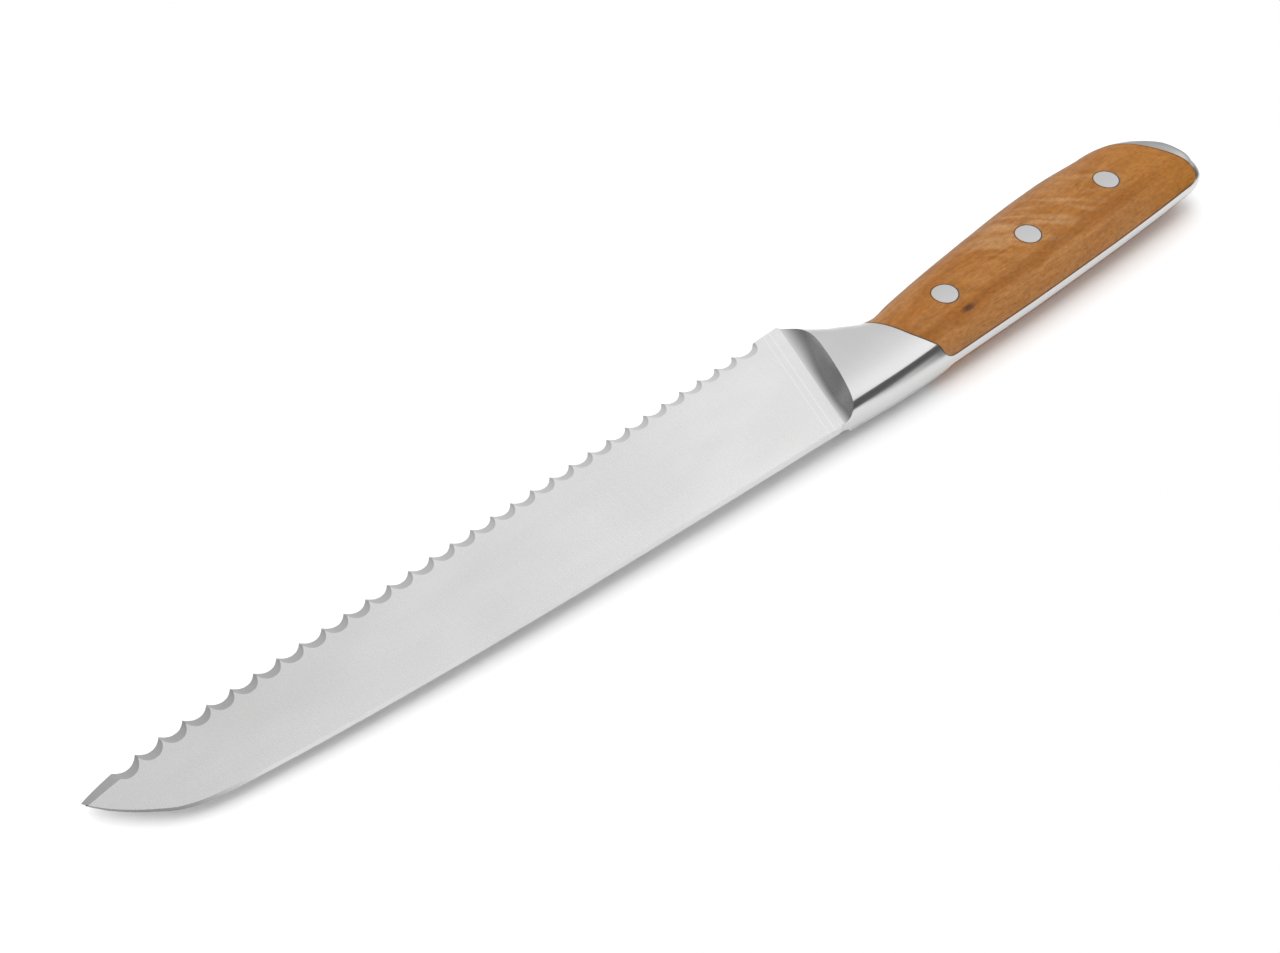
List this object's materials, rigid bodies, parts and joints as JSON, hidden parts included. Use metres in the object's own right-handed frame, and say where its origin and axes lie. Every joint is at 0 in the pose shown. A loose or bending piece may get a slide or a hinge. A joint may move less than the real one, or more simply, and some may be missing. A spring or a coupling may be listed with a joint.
{
  "type": "bread knife",
  "caption": "Forged bread knife with a long scalloped edge ground on one side, a sloping bolster, a full tang with a metal butt cap, and wooden handle scales held by flush cutler's rivets.",
  "frame": {"origin": "bottom centre of the bounding box, with the knife lying on its left side and its blade level", "axes": "+X from the tip to the butt, parallel to the line of the serration's cusps; +Y from the spine to the cutting edge; +Z out of the right face of the blade, which carries the ground bevels"},
  "size_m": [0.3624, 0.0432, 0.0172],
  "materials": {
    "ground_steel": "satin-ground stainless steel, polished bolster and butt",
    "handle_wood": "smooth figured hardwood, warm orange-brown, lightly oiled",
    "rivet_steel": "ground flush with the wood, satin",
    "epoxy_bond": "dark cured adhesive film"
  },
  "bodies": {
    "root": {"blade_forging": "ground_steel", "scale_right": "handle_wood", "scale_left": "handle_wood", "bond_right": "epoxy_bond", "bond_left": "epoxy_bond", "rivet_front_female": "rivet_steel", "rivet_front_male": "rivet_steel", "rivet_middle_female": "rivet_steel", "rivet_middle_male": "rivet_steel", "rivet_rear_female": "rivet_steel", "rivet_rear_male": "rivet_steel"}
  },
  "joints": []
}
